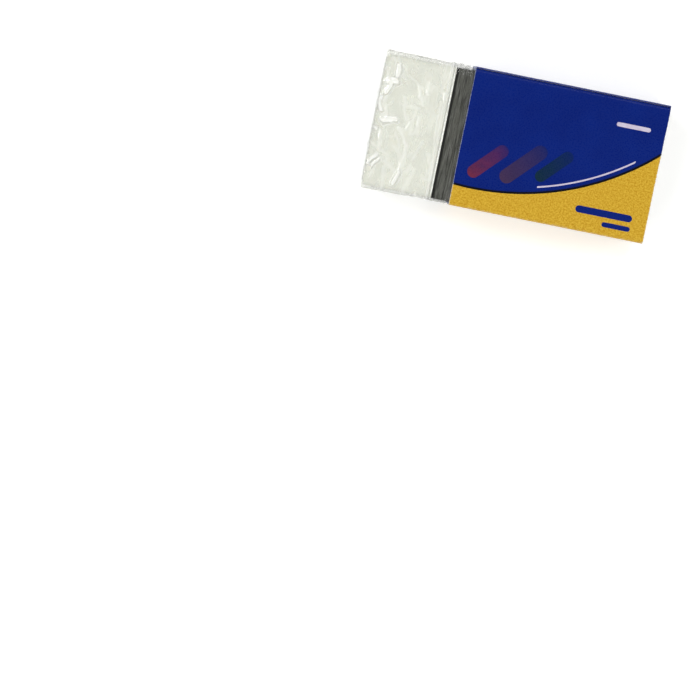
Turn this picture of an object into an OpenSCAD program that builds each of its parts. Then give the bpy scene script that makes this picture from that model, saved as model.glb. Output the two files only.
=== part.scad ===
// Film-wrapped rubber eraser in a printed card sleeve.
// Millimetres. X runs along the block, from the bare end to the sleeved end, and Z is up.
// The origin is the centre of the underside of the whole eraser as it lies on its back panel.

/* [Rubber block] */
// Length of the rubber block
block_length = 44.4; // [36:0.2:60]
// Width of the rubber block
block_width = 20.6; // [16:0.2:28]
// Thickness of the rubber block
block_thickness = 11.4; // [9:0.2:16]
// Radius of the block's softened edges
block_edge_radius = 0.7; // [0.3:0.1:1.2]

/* [Film wrap] */
// Thickness of the clear film
film_thickness = 0.05; // [0.03:0.01:0.1]
// Air between the rubber and the film
film_slack = 0.08; // [0.08:0.01:0.2]
// Width of the sealed lap along the underside
lap_width = 4; // [2:0.5:6]
// Depth of the flaps that close each end
end_flap_depth = 6.6; // [5.5:0.1:7]

/* [Tear tape] */
// Width of the tear tape
tape_width = 3; // [1.5:0.1:4]
// Thickness of the tear tape
tape_thickness = 0.04; // [0.02:0.01:0.05]
// How far the tape reaches in under the sleeve's mouth
tape_tuck = 0.1; // [0:0.05:0.5]
// Length of the pull tab beyond the lap
tab_length = 3.5; // [2:0.5:5]

/* [Card sleeve] */
// Length of the card sleeve
sleeve_length = 30.9; // [20:0.1:34]
// Thickness of the card
card_thickness = 0.3; // [0.2:0.05:0.5]
// Outside radius of the folds
fold_radius = 0.5; // [0.5:0.05:0.8]
// Running gap between the wrapped block and the card
fit_gap = 0.06; // [0.03:0.01:0.2]
// How far the plain end of the sleeve stands past the wrapped block
end_overhang = 0.1; // [0:0.05:0.5]
// Height of the glue flap inside the lapped side
glue_flap_height = 8.4; // [5:0.1:9]
// How far the lapped panel's free edge stops below the front panel's face
lap_setback = 0.15; // [0.1:0.05:0.3]
// Depth over which the lapped layers stand unglued at the free edge
unglued_depth = 0.8; // [0.5:0.1:2]
// Width of the open line between the unglued layers
unglued_gap = 0.04; // [0.02:0.01:0.06]

/* [Gold field] */
// Height of the gold field at the sleeve's mouth
gold_height_mouth = 3.3; // [2:0.1:6]
// Height of the gold field at the sleeve's plain end
gold_height_end = 14; // [8:0.2:15]
// Radius of the field's curved upper edge
gold_arc_radius = 41; // [35:1:90]
// Thickness of the printed layer
print_thickness = 0.04; // [0.02:0.01:0.06]

/* [Printed shapes] */
// Slant of the three coloured bars, from the sleeve's length
bar_slant = 46; // [40:1:60]
// Distance of the first bar's foot from the sleeve's mouth
bar_start = 2.8; // [2:0.1:5]
// Distance between the feet of the bars, along the sleeve
bar_pitch = 5.2; // [5:0.1:6]
// Length of the longest bar
bar_length = 8.6; // [6:0.2:10]
// Width of the widest bar
bar_width = 2.3; // [1:0.1:2.4]
// Width of the thin pale line above the gold
line_width = 0.25; // [0.15:0.05:0.5]
// Distance of the pale line from the gold
line_offset = 0.9; // [0.6:0.1:1.5]
// Distance of the bars' feet from the pale line
bar_clearance = 0.4; // [0.2:0.1:1]
// Length of the longer of the two blue rules on the gold
rule_length = 9; // [6:0.5:10]
// Height of the longer blue rule
rule_height = 1.1; // [0.6:0.1:1.4]
// Distance of the rules from the sleeve's plain end
rule_inset = 2.4; // [1:0.1:4]
// Distance of the pale rule from the front panel's far edge
rule_drop = 4.4; // [3:0.1:6]

/* [Hidden] */
$fn = 48;
// Overshoot of a cutting shape past the face that it cuts
cut = 1;

// Film wrap, outside and inside
film_inner = [for (s = [block_length, block_width, block_thickness]) s + 2 * film_slack];
film_outer = [for (s = film_inner) s + 2 * film_thickness];
film_inner_radius = block_edge_radius + film_slack;
film_outer_radius = film_inner_radius + film_thickness;
end_layers = 2;
wrapped_length = film_outer[0] + 2 * end_layers * film_thickness;

// Sleeve section: the cavity takes the wrapped block, its lap and a running gap on every side
cavity_width = film_outer[1] + 2 * fit_gap;
cavity_height = film_outer[2] + film_thickness + 2 * fit_gap;
sleeve_width = cavity_width + 3 * card_thickness;
sleeve_height = cavity_height + 2 * card_thickness;
cavity_y0 = -sleeve_width / 2 + card_thickness;
cavity_y1 = cavity_y0 + cavity_width;
cavity_z1 = card_thickness + cavity_height;
inner_fold_radius = fold_radius - card_thickness;

// Places along the eraser
overall_length = wrapped_length + end_overhang;
sleeve_end_x = overall_length / 2;
mouth_x = sleeve_end_x - sleeve_length;
block_x = -overall_length / 2 + wrapped_length / 2;
tape_x = mouth_x + tape_tuck - tape_width;

// Place of the block inside the sleeve, above the lap and off centre by the lapped side
block_y = (cavity_y0 + cavity_y1) / 2;
film_bottom_z = card_thickness + fit_gap + film_thickness;
block_z = film_bottom_z + film_outer[2] / 2;

// Centre of the gold field's arc, from its two ends on the front panel and its radius
gold_chord = [sleeve_length, gold_height_end - gold_height_mouth];
gold_middle = [mouth_x, gold_height_mouth - sleeve_width / 2] + gold_chord / 2;
gold_rise = sqrt(pow(gold_arc_radius, 2) - pow(norm(gold_chord) / 2, 2));
gold_centre = gold_middle + gold_rise * [-gold_chord[1], gold_chord[0]] / norm(gold_chord);

// Corner of the front panel that the blue rules are measured from
rules_corner = [sleeve_end_x - rule_inset, rule_inset * 0.55 - sleeve_width / 2];

// Coloured bars, in order from the mouth: share of the full length and of the full width
bar_lengths = [for (share = [0.86, 1, 0.8]) share * bar_length];
bar_widths = [for (share = [0.87, 1, 0.8]) share * bar_width];
// Radius about the gold field's centre on which the feet of the bars stand
feet_radius = gold_arc_radius - line_offset - line_width - bar_clearance - bar_width / 2;

// Rectangle with round corners, centred
module rounded_rectangle(width, height, radius) {
    square([width - 2 * radius, height], center = true);
    square([width, height - 2 * radius], center = true);
    for (sx = [-1, 1], sy = [-1, 1])
        translate([sx * (width / 2 - radius), sy * (height / 2 - radius)])
            circle(r = radius);
}

// Turns a shape drawn in Y and Z into a bar along X, starting at x0
module along_x(x0, length) {
    translate([x0, 0, 0])
        rotate([90, 0, 90])
            linear_extrude(height = length)
                children();
}

// Box with every edge rounded, centred
module soft_box(size, radius) {
    intersection() {
        along_x(-size[0] / 2, size[0])
            rounded_rectangle(size[1], size[2], radius);
        translate([0, size[1] / 2, 0])
            rotate([90, 0, 0])
                linear_extrude(height = size[1])
                    rounded_rectangle(size[0], size[2], radius);
        translate([0, 0, -size[2] / 2])
            linear_extrude(height = size[2])
                rounded_rectangle(size[0], size[1], radius);
    }
}

// Places a shape drawn about the block's centre
module at_block() {
    translate([block_x, block_y, block_z])
        children();
}

// Cast white rubber, one piece
module rubber_block() {
    color("white")
        at_block()
            soft_box([block_length, block_width, block_thickness], block_edge_radius);
}

// One end flap, folded down from the top edge for side 1 and up from the bottom edge for side -1
module end_flap(side) {
    base = film_outer[1] / 2 - film_outer_radius;
    fold = film_outer[2] / 2 - film_outer_radius;
    polygon([
        [-base, side * fold],
        [base, side * fold],
        [base - end_flap_depth, side * (fold - end_flap_depth)],
        [end_flap_depth - base, side * (fold - end_flap_depth)]
    ]);
}

// Envelope folds on one end: two flaps, doubled where they meet and are sealed
module end_folds() {
    along_x(film_outer[0] / 2, film_thickness)
        union() {
            end_flap(1);
            end_flap(-1);
        }
    along_x(film_outer[0] / 2, 2 * film_thickness)
        intersection() {
            end_flap(1);
            end_flap(-1);
        }
}

// Sealed lap along the underside, with the tear tape's pull tab on its free edge
module lap_seam() {
    lap_length = film_outer[0] - 2 * film_outer_radius;
    translate([-lap_length / 2, -lap_width / 2, -film_outer[2] / 2 - film_thickness])
        cube([lap_length, lap_width, film_thickness]);
    translate([tape_x - block_x, lap_width / 2, -film_outer[2] / 2 - film_thickness])
        cube([tape_width, tab_length, film_thickness]);
}

// Clear film folded round the whole block
module film_wrap() {
    color("gainsboro", 0.35)
        at_block() {
            difference() {
                soft_box(film_outer, film_outer_radius);
                soft_box(film_inner, film_inner_radius);
            }
            end_folds();
            mirror([1, 0, 0])
                end_folds();
            lap_seam();
        }
}

// Dark tape round the block, against the inside of the film at the sleeve's mouth
module tear_tape() {
    outer_gap = (film_slack - tape_thickness) / 2;
    inner_gap = outer_gap + tape_thickness;
    color("dimgray")
        translate([0, block_y, block_z])
            along_x(tape_x, tape_width)
                difference() {
                    rounded_rectangle(film_inner[1] - 2 * outer_gap, film_inner[2] - 2 * outer_gap,
                                      film_inner_radius - outer_gap);
                    rounded_rectangle(film_inner[1] - 2 * inner_gap, film_inner[2] - 2 * inner_gap,
                                      film_inner_radius - inner_gap);
                }
}

// Quarter ring of card about a fold's centre, in the quadrant that sy and sz point to
module fold(centre, sy, sz) {
    translate(centre)
        intersection() {
            difference() {
                circle(r = fold_radius);
                circle(r = inner_fold_radius);
            }
            scale([sy, sz])
                square(fold_radius + cut);
        }
}

// Flat panel of card between two corners
module panel(from, to) {
    translate(from)
        square(to - from);
}

// Section of the sleeve: flap, front, side, back and the outer panel glued over the flap
module sleeve_section() {
    left_y = -sleeve_width / 2;
    right_y = sleeve_width / 2;
    flap_y = cavity_y1;
    low = fold_radius;
    high = sleeve_height - fold_radius;
    flap_foot = cavity_z1 - glue_flap_height;
    fold([left_y + fold_radius, low], -1, -1);
    fold([left_y + fold_radius, high], -1, 1);
    fold([flap_y - inner_fold_radius, high], 1, 1);
    fold([right_y - fold_radius, low], 1, -1);
    panel([left_y, low], [left_y + card_thickness, high]);
    panel([left_y + fold_radius, 0], [right_y - fold_radius, card_thickness]);
    panel([left_y + fold_radius, cavity_z1], [flap_y - inner_fold_radius, sleeve_height]);
    panel([flap_y, flap_foot], [flap_y + card_thickness, high]);
    difference() {
        panel([flap_y + card_thickness, low], [right_y, sleeve_height - lap_setback]);
        panel([flap_y, sleeve_height - lap_setback - unglued_depth],
              [flap_y + card_thickness + unglued_gap, sleeve_height]);
    }
}

// Bar with round ends, centred and lying along X
module bar(length, width) {
    square([length - width, width], center = true);
    for (sx = [-1, 1])
        translate([sx * (length - width) / 2, 0])
            circle(d = width);
}

// Slanted bar number i, with its foot standing on the curve above the pale line
module bar_outline(i) {
    foot_x = mouth_x + bar_start + i * bar_pitch;
    foot_y = gold_centre[1] - sqrt(pow(feet_radius, 2) - pow(foot_x - gold_centre[0], 2));
    translate([foot_x, foot_y])
        rotate(bar_slant)
            translate([(bar_lengths[i] - bar_widths[i]) / 2, 0])
                bar(bar_lengths[i], bar_widths[i]);
}

// Thin line that follows the gold's curve, on the blue side of it
module line_outline() {
    intersection() {
        difference() {
            translate(gold_centre)
                circle(r = gold_arc_radius - line_offset, $fn = 256);
            translate(gold_centre)
                circle(r = gold_arc_radius - line_offset - line_width, $fn = 256);
        }
        translate([mouth_x + sleeve_length * 0.42, -sleeve_width / 2 + fold_radius])
            square([sleeve_length * 0.46, sleeve_width / 2]);
    }
}

// Pale shapes on the blue: the thin line and a short rule
module pale_outline() {
    line_outline();
    translate([sleeve_end_x - rule_inset - rule_length * 0.3, sleeve_width / 2 - rule_drop])
        bar(rule_length * 0.6, rule_height * 0.6);
}

// Blue rules left open in the gold field
module rules_outline() {
    translate(rules_corner + [-rule_length / 2, rule_height * 1.9])
        bar(rule_length, rule_height);
    translate(rules_corner + [-rule_length / 4, rule_height * 0.4])
        bar(rule_length / 2, rule_height * 0.7);
}

// Flat part of the front panel below the curved edge, where the gold is printed
module gold_outline() {
    difference() {
        translate([mouth_x, -sleeve_width / 2 + fold_radius])
            square([sleeve_length, sleeve_width / 2 + gold_height_end]);
        translate(gold_centre)
            circle(r = gold_arc_radius, $fn = 256);
        rules_outline();
    }
}

// Section of the gold where it runs on over the fold and down the near side
module gold_side_section() {
    fold_centre = [fold_radius - sleeve_width / 2, sleeve_height - fold_radius];
    translate(fold_centre)
        intersection() {
            difference() {
                circle(r = fold_radius);
                circle(r = fold_radius - print_thickness);
            }
            translate([-fold_radius - cut, 0])
                square(fold_radius + cut);
        }
    translate([-sleeve_width / 2, fold_radius])
        square([print_thickness, sleeve_height - 2 * fold_radius]);
}

// Printed layer of a drawn shape, level with the front panel's face
module front_print() {
    translate([0, 0, sleeve_height - print_thickness])
        linear_extrude(height = print_thickness)
            children();
}

// Whole gold layer, over the front panel and the near side
module gold_layer() {
    front_print()
        gold_outline();
    along_x(mouth_x, sleeve_length)
        gold_side_section();
}

// Gold field, level with the card around it
module gold_print() {
    color("goldenrod")
        gold_layer();
}

// Slanted bar nearest the mouth
module crimson_print() {
    color("firebrick")
        front_print()
            bar_outline(0);
}

// Slanted bar in the middle
module mauve_print() {
    color("rebeccapurple")
        front_print()
            bar_outline(1);
}

// Slanted bar farthest from the mouth
module green_print() {
    color("darkslategray")
        front_print()
            bar_outline(2);
}

// Pale line and rule
module pale_print() {
    color("lavender")
        front_print()
            pale_outline();
}

// Card sleeve, folded from one blank and glued along the far side
module card_sleeve() {
    color("midnightblue")
        difference() {
            along_x(mouth_x, sleeve_length)
                sleeve_section();
            gold_layer();
            front_print() {
                bar_outline(0);
                bar_outline(1);
                bar_outline(2);
                pale_outline();
            }
        }
}

rubber_block();
film_wrap();
tear_tape();
card_sleeve();
gold_print();
crimson_print();
mauve_print();
green_print();
pale_print();
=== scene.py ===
"""Film-wrapped rubber eraser in a printed card sleeve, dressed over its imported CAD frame."""

import logging
import math
from dataclasses import dataclass, field, replace
from enum import Enum

import bpy
import numpy as np
from mathutils import Matrix, Vector

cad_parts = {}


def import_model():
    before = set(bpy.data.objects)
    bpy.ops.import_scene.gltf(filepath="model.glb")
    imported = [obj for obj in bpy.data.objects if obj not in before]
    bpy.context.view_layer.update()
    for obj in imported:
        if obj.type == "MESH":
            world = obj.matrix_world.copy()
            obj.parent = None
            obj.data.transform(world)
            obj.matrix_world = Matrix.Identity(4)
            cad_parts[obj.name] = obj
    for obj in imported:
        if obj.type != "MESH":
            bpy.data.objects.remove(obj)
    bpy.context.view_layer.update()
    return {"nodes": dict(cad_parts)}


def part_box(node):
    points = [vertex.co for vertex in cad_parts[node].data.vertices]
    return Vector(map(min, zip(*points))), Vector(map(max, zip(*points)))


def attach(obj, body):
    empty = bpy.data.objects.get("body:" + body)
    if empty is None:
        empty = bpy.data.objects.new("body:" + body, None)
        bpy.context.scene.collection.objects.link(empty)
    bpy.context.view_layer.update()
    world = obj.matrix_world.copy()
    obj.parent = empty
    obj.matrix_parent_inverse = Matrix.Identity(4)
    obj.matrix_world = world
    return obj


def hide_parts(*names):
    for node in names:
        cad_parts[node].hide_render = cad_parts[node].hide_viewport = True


LOG = logging.getLogger("eraser")
MM = 0.001

Grids = tuple[np.ndarray, np.ndarray]
Size = float | tuple[float, float, float]
Tree = bpy.types.NodeTree
Socket = bpy.types.NodeSocket

# Levels of the film's haze, painted shade and painted highlight. Up to PALE a crease is only paler. The
# painted grey shade at a sharp one's foot begins at FOOT_START and is full at FOOT. Above that comes
# its white ridge, part haze and part painted highlight, full at RIDGE.
PALE, FOOT_START, FOOT, RIDGE = 0.1, 0.12, 0.3, 0.6


class Face(Enum):
    """Which skin of a sheet a mesh face belongs to, as its material index."""

    OUTER = 0
    INNER = 1
    CUT = 2


# ---------------------------------------------------------------- colour and nodes


def linear(hex_colour: str) -> tuple[float, float, float, float]:
    """Turns an sRGB hex colour to the linear values that a shader takes.

    Args:
        hex_colour: Six hex digits, such as "112675".

    Returns:
        Red, green, blue and an alpha of 1, all linear.
    """
    srgb = [int(hex_colour[i : i + 2], 16) / 255 for i in (0, 2, 4)]
    r, g, b = (c / 12.92 if c <= 0.04045 else ((c + 0.055) / 1.055) ** 2.4 for c in srgb)
    return r, g, b, 1.0


def add_node(tree: Tree, kind: str, settings: dict[str | int, object], output: int = 0) -> Socket:
    """Adds one shader node with its settings and links.

    Args:
        tree: The material's node tree.
        kind: The node's type, without its "ShaderNode".
        settings: By attribute name, input name or input number, a value, or a socket to link from.
        output: Which of its outputs is wanted.

    Returns:
        That output socket.
    """
    node = tree.nodes.new("ShaderNode" + kind)
    for name, value in settings.items():
        if isinstance(name, str) and hasattr(node, name):
            setattr(node, name, value)
        elif isinstance(value, bpy.types.NodeSocket):
            tree.links.new(value, node.inputs[name])
        else:
            node.inputs[name].default_value = value
    return node.outputs[output]


# ---------------------------------------------------------------- finishes


@dataclass(frozen=True)
class Finish:
    """What a surface is made of, with the values that the shader keeps all over."""

    name: str
    colour: str
    roughness: float
    ior: float = 1.5
    specular: float = 0.5

    def constants(self) -> dict[str, object]:
        """What is the same all over the surface, by the shader's input name."""
        gloss = {"Roughness": self.roughness, "IOR": self.ior, "Specular IOR Level": self.specular}
        return {"Base Color": linear(self.colour), **gloss}

    def pattern(self, tree: Tree) -> dict[str, object]:
        """What varies over the surface: sockets in that tree, by the shader's input name."""
        return {}

    def make(self) -> bpy.types.Material:
        """Makes the finished material.

        Returns:
            The material.
        """
        material = bpy.data.materials.new(self.name)
        material.use_nodes = True
        tree = material.node_tree
        inputs = tree.nodes["Principled BSDF"].inputs
        for name, value in self.constants().items():
            inputs[name].default_value = value
        for name, socket in self.pattern(tree).items():
            tree.links.new(socket, inputs[name])
        return material

    @staticmethod
    def grain(tree: Tree, size: Size, low: float, high: float) -> Socket:
        """A pattern of grains of a real size, from 0 to 1.

        Args:
            tree: The material's node tree.
            size: The grains' size in millimetres, or their sizes along X, Y and Z.
            low: The noise level that gives 0.
            high: The noise level that gives 1.

        Returns:
            The pattern's socket.
        """
        scale = [1 / (length * MM) for length in (size if isinstance(size, tuple) else (size,) * 3)]
        stretched = add_node(tree, "Mapping", {"Vector": add_node(tree, "TexCoord", {}, 3), "Scale": scale})
        fractal = {"Scale": 1.0, "Detail": 3.0, "Roughness": 0.55}
        noise = add_node(tree, "TexNoise", {"Vector": stretched, **fractal})
        return add_node(tree, "MapRange", {"Value": noise, "From Min": low, "From Max": high})

    @staticmethod
    def tones(tree: Tree, base: str, *layers: tuple[Socket, str]) -> Socket:
        """Lays tones over a base colour one by one, each over its own share of the surface.

        Args:
            tree: The material's node tree.
            base: The hex colour underneath.
            layers: For each tone, the socket of its share and its hex colour.

        Returns:
            The colour's socket.
        """
        under = linear(base)
        for share, tone in layers:
            under = add_node(tree, "Mix", {"data_type": "RGBA", 0: share, 6: under, 7: linear(tone)}, 2)
        return under


@dataclass(frozen=True)
class CastRubber(Finish):
    """Cast white vinyl rubber: a chalky, faintly see-through body, dull with a soft sheen."""

    shade: str = "dfe0d7"
    glow_mm: float = 0.6
    cloud_mm: float = 6.0
    speck_mm: float = 0.35

    def constants(self) -> dict[str, object]:
        """Light goes a little way in, so the block's edges look soft and not chalk-dry."""
        glow = {"Subsurface Weight": 0.25, "Subsurface Radius": (1.0, 0.85, 0.7)}
        return {**super().constants(), **glow, "Subsurface Scale": self.glow_mm * MM}

    def pattern(self, tree: Tree) -> dict[str, object]:
        """The rubber's slow change of tone, and its fine cast skin.

        Args:
            tree: The material's node tree.

        Returns:
            Sockets, by the shader's input name.
        """
        cloud = self.grain(tree, self.cloud_mm, 0.35, 0.65)
        cast = self.grain(tree, self.speck_mm, 0.3, 0.7)
        return {
            "Base Color": self.tones(tree, self.colour, (cloud, self.shade)),
            "Roughness": add_node(tree, "MapRange", {"Value": cast, "To Min": 0.5, "To Max": 0.66}),
            "Normal": add_node(tree, "Bump", {"Height": cast, "Distance": 0.008 * MM, "Strength": 0.5}),
        }


@dataclass(frozen=True)
class ClearFilm(Finish):
    """Oriented polypropylene film: colourless and glossy, hazed white where it was creased, with painted
    highlights on its sharp creases' ridges and painted shade at their feet.

    Its faint body colour follows what it lies on, the pale rubber or the dark tape, so it doesn't
    veil them, and its share of the surface is large enough to carry its gloss.
    """

    alpha: float = 0.38
    shade: str = "cacdc1"
    # Painted grey shade at the foot of a sharp crease.
    foot_shade: str = "84877f"
    # The creases' white: haze, and on sharp ridges a painted highlight.
    haze_and_painted_light: str = "ffffff"
    over_tape: str = "161613"
    cloud_mm: Size = (2.2, 4.5, 3.0)
    ripple_mm: Size = (1.1, 1.98, 1.1)

    def constants(self) -> dict[str, object]:
        """Its clearness, and a hard clear gloss."""
        return {**super().constants(), "Alpha": self.alpha, "Coat Weight": 1.0, "Coat Roughness": 0.08}

    def pattern(self, tree: Tree) -> dict[str, object]:
        """The creases' haze, painted highlights and painted shade, and the faint ripple that handling leaves
        in the film.

        Args:
            tree: The material's node tree.

        Returns:
            Sockets, by the shader's input name.
        """
        cloud = self.grain(tree, self.cloud_mm, 0.38, 0.64)
        ripple = self.grain(tree, self.ripple_mm, 0.3, 0.7)
        crease = add_node(tree, "Attribute", {"attribute_name": "crease"}, 2)
        tape = add_node(tree, "Attribute", {"attribute_name": "tape"}, 2)
        # A faint crease is only paler. A sharp one's foot is painted grey as shade, and its ridge is painted
        # white, part haze and part painted highlight.
        faint = add_node(tree, "MapRange", {"Value": crease, "From Max": PALE, "To Max": 0.6})
        foot = add_node(tree, "MapRange", {"Value": crease, "From Min": FOOT_START, "From Max": FOOT})
        ridge = add_node(tree, "MapRange", {"Value": crease, "From Min": FOOT, "From Max": RIDGE})
        creased = (faint, self.haze_and_painted_light), (foot, self.foot_shade), (ridge, self.haze_and_painted_light)
        layers = (cloud, self.colour), *creased, (tape, self.over_tape)
        return {
            "Base Color": self.tones(tree, self.shade, *layers),
            "Roughness": add_node(tree, "MapRange", {"Value": ripple, "To Min": 0.1, "To Max": 0.2}),
            "Normal": add_node(tree, "Bump", {"Height": ripple, "Distance": 0.05 * MM, "Strength": 0.45}),
        }


@dataclass(frozen=True)
class TearTape(Finish):
    """Dark oriented tape: its fine stretch lines run round the block, along the tape."""

    light: str = "7e7f78"
    worn: str = "65665d"
    # Painted dark shade along the tape's bare edge.
    edge: str = "0d0e0b"
    line_mm: Size = (0.14, 2.6, 2.6)
    cloud_mm: Size = (1.5, 3.0, 3.0)
    edge_x: float = 0.0
    shade_line_mm: float = 0.36
    shade_line_blur_mm: float = 0.14

    def pattern(self, tree: Tree) -> dict[str, object]:
        """The stretch lines, and a painted dark shade line along the tape's bare edge.

        Args:
            tree: The material's node tree.

        Returns:
            Sockets, by the shader's input name.
        """
        lines = self.grain(tree, self.line_mm, 0.38, 0.62)
        cloud = self.grain(tree, self.cloud_mm, 0.45, 0.75)
        x = add_node(tree, "SeparateXYZ", {"Vector": add_node(tree, "TexCoord", {}, 3)})
        # A painted dark shade line runs along the tape's bare edge.
        bound = self.edge_x + self.shade_line_mm
        fall = {"From Min": bound * MM, "From Max": (bound + self.shade_line_blur_mm) * MM}
        soft = {"interpolation_type": "SMOOTHSTEP", "To Min": 1.0, "To Max": 0.0}
        rim = add_node(tree, "MapRange", {"Value": x, **fall, **soft})
        layers = (lines, self.light), (cloud, self.worn), (rim, self.edge)
        return {
            "Base Color": self.tones(tree, self.colour, *layers),
            "Roughness": add_node(tree, "MapRange", {"Value": lines, "To Min": 0.34, "To Max": 0.5}),
            "Normal": add_node(tree, "Bump", {"Height": lines, "Distance": 0.01 * MM, "Strength": 0.6}),
        }


@dataclass(frozen=True)
class PrintedCard(Finish):
    """Ink on clay-coated card: even and dense with a soft gloss, cracked pale along the folds."""

    mottle: str = ""
    fade_to: str = ""
    core: str = "b4bccf"
    mottle_mm: Size = 1.2
    crack_mm: Size = (0.5, 0.16, 0.16)
    fibre_mm: Size = 0.25

    def constants(self) -> dict[str, object]:
        """A thin varnish."""
        return {**super().constants(), "Coat Weight": 0.03, "Coat Roughness": 0.2}

    def pattern(self, tree: Tree) -> dict[str, object]:
        """The print's mottle, its wear and the card's tooth.

        Args:
            tree: The material's node tree.

        Returns:
            Sockets, by the shader's input name.
        """
        layers = [(self.grain(tree, self.mottle_mm, 0.35, 0.68), self.mottle)]
        if self.fade_to:
            layers.append((add_node(tree, "Attribute", {"attribute_name": "fade"}, 2), self.fade_to))
        # The ink breaks up where the card is folded or cut, and the pale core shows in specks.
        wear = add_node(tree, "Attribute", {"attribute_name": "wear"}, 2)
        crack = self.grain(tree, self.crack_mm, 0.4, 0.62)
        patchy = add_node(tree, "MapRange", {"Value": crack, "To Min": 0.5, "To Max": 1.0})
        both = add_node(tree, "Math", {"operation": "MULTIPLY", 0: wear, 1: patchy})
        bare = add_node(tree, "MapRange", {"Value": both, "From Min": 0.4, "From Max": 0.8, "To Max": 0.9})
        fibre = self.grain(tree, self.fibre_mm, 0.3, 0.7)
        soft = {"Value": fibre, "To Min": self.roughness - 0.06, "To Max": self.roughness + 0.08}
        return {
            "Base Color": self.tones(tree, self.colour, *layers, (bare, self.core)),
            "Roughness": add_node(tree, "MapRange", soft),
            "Normal": add_node(tree, "Bump", {"Height": fibre, "Distance": 0.004 * MM, "Strength": 0.35}),
        }


@dataclass(frozen=True)
class BareCard(Finish):
    """Unprinted side or cut edge of the card: matt and fibrous, flecked with darker pulp."""

    fleck: str = "a9a7a0"
    fibre_mm: Size = (0.5, 0.2, 0.2)

    def pattern(self, tree: Tree) -> dict[str, object]:
        """The card's fibres.

        Args:
            tree: The material's node tree.

        Returns:
            Sockets, by the shader's input name.
        """
        fibre = self.grain(tree, self.fibre_mm, 0.5, 0.7)
        return {
            "Base Color": self.tones(tree, self.colour, (fibre, self.fleck)),
            "Normal": add_node(tree, "Bump", {"Height": fibre, "Distance": 0.012 * MM, "Strength": 0.5}),
        }


@dataclass(frozen=True)
class PaleFloor(Finish):
    """Matt painted board: what sees it straight or mirrored sees it lifted to white, with its shadow."""

    lift: float = 0.38

    def constants(self) -> dict[str, object]:
        """The colour of its lift."""
        return {**super().constants(), "Emission Color": (1.0, 1.0, 1.0, 1.0)}

    def pattern(self, tree: Tree) -> dict[str, object]:
        """The lift, for the camera, mirrors and glass.

        Args:
            tree: The material's node tree.

        Returns:
            The lift's socket, by the shader's input name.
        """
        rays = add_node(tree, "LightPath", {}).node.outputs
        seen = rays["Is Camera Ray"]
        for name in ("Is Glossy Ray", "Is Transmission Ray"):
            seen = add_node(tree, "Math", {"operation": "MAXIMUM", 0: seen, 1: rays[name]})
        return {"Emission Strength": add_node(tree, "Math", {"operation": "MULTIPLY", 0: seen, 1: self.lift})}


RUBBER = CastRubber("cast_white_rubber", "e6e7de", 0.58, 1.52)
FILM = ClearFilm("clear_polypropylene_film", "d9dbcf", 0.12, 1.49, 1.0)
FILM_BACK = ClearFilm("film_inner_face", "eff0e7", 0.2, 1.49, alpha=0.008)
TAPE = TearTape("dark_tear_tape", "3f403a", 0.4, 1.5, 0.2)
# In order: name, colour, roughness, IOR, specular level, the mottle's colour and the one that it fades to.
BLUE = PrintedCard("blue_ink_on_coated_card", "041e70", 0.28, 1.5, 0.12, "062276", mottle_mm=5.0)
OVERLAP = PrintedCard("blue_ink_over_gold_ink", "08070c", 0.3, 1.5, 0.12, "0a0c18")
CRIMSON = PrintedCard("crimson_ink_on_coated_card", "702a40", 0.28, 1.5, 0.12, "5c2743", "142064")
MAUVE = PrintedCard("mauve_ink_on_coated_card", "43304e", 0.28, 1.5, 0.12, "3d2c48", "0f2163")
GREEN = PrintedCard("green_ink_on_coated_card", "0e2c34", 0.28, 1.5, 0.12, "10283d", "072060")
PALE_INK = PrintedCard("pale_ink_on_coated_card", "cfc9da", 0.4, 1.5, 0.3, "c3b6cc")
# The gold's grain is drawn a little coarser than a real print's, so that it shows.
GOLD = PrintedCard(
    "gold_ink_on_coated_card", "dab43a", 0.34, 1.5, 0.2, "ba8706", core="e0d9bd", mottle_mm=0.25
)
CARD = BareCard("bare_card", "d8d7d0", 0.8, 1.47)
CUT_EDGE = BareCard("cut_edge_stained_by_ink", "b9bfdc", 0.8, 1.47, fleck="6f78a8")
FLOOR = PaleFloor("pale_floor", "f0f0ee", 0.9)


# ---------------------------------------------------------------- shapes


def ease(share: np.ndarray) -> np.ndarray:
    """Turns an even rise from 0 to 1 into a smooth one."""
    return share * share * (3 - 2 * share)


@dataclass
class ValueNoise:
    """A smooth random field over a plane, the same on each run.

    A whole number that is added to a place only picks another part of it.
    """

    seed: int
    cells: int = 64
    table: np.ndarray = field(init=False)

    def __post_init__(self) -> None:
        """Fills the lattice."""
        self.table = np.random.default_rng(self.seed).uniform(-1, 1, (self.cells, self.cells))

    def at(self, x: np.ndarray, y: np.ndarray) -> np.ndarray:
        """The field's value, -1 to 1.

        Args:
            x: Places along the first axis, in cells.
            y: Places along the second axis, in cells.

        Returns:
            One value for each place.
        """
        x, y = np.broadcast_arrays(np.asarray(x, float), np.asarray(y, float))
        i, j = np.floor(x).astype(int), np.floor(y).astype(int)
        u, v = ease(x - i), ease(y - j)
        n, t = self.cells, self.table
        low = t[i % n, j % n] * (1 - u) + t[(i + 1) % n, j % n] * u
        high = t[i % n, (j + 1) % n] * (1 - u) + t[(i + 1) % n, (j + 1) % n] * u
        return low * (1 - v) + high * v


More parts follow.
